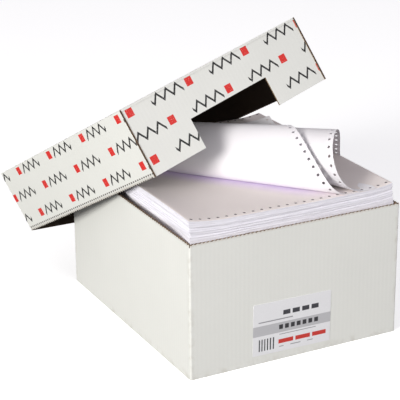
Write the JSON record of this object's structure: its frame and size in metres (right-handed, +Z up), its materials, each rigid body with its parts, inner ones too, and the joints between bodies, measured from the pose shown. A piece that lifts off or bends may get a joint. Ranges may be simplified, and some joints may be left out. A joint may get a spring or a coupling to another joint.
{
  "type": "boxed fanfold computer paper",
  "caption": "Continuous fanfold computer paper with sprocket margins, stacked in an opened white corrugated carton, top leaves rolled back and the torn-off lid leaning on the pack",
  "frame": {"origin": "centre of the carton's underside, on the surface that it stands on", "axes": "+Z up; +X along the labelled short side of the carton, fold to fold of the paper; +Y from the labelled side to the back, along the lifted lid"},
  "size_m": [0.4046, 0.5473, 0.4017],
  "materials": {
    "carton_base": "white-lined corrugated board, matt, brown raw edges and kraft inside",
    "fanfold_paper": "uncoated white paper, matt",
    "lid": "white-lined corrugated board with a printed repeat in black and red, brown raw edges",
    "label": "printed self-adhesive label, slight sheen"
  },
  "bodies": {
    "root": {"carton_base": "carton_base", "fanfold_paper": "fanfold_paper", "lid": "lid", "label": "label"}
  },
  "joints": []
}
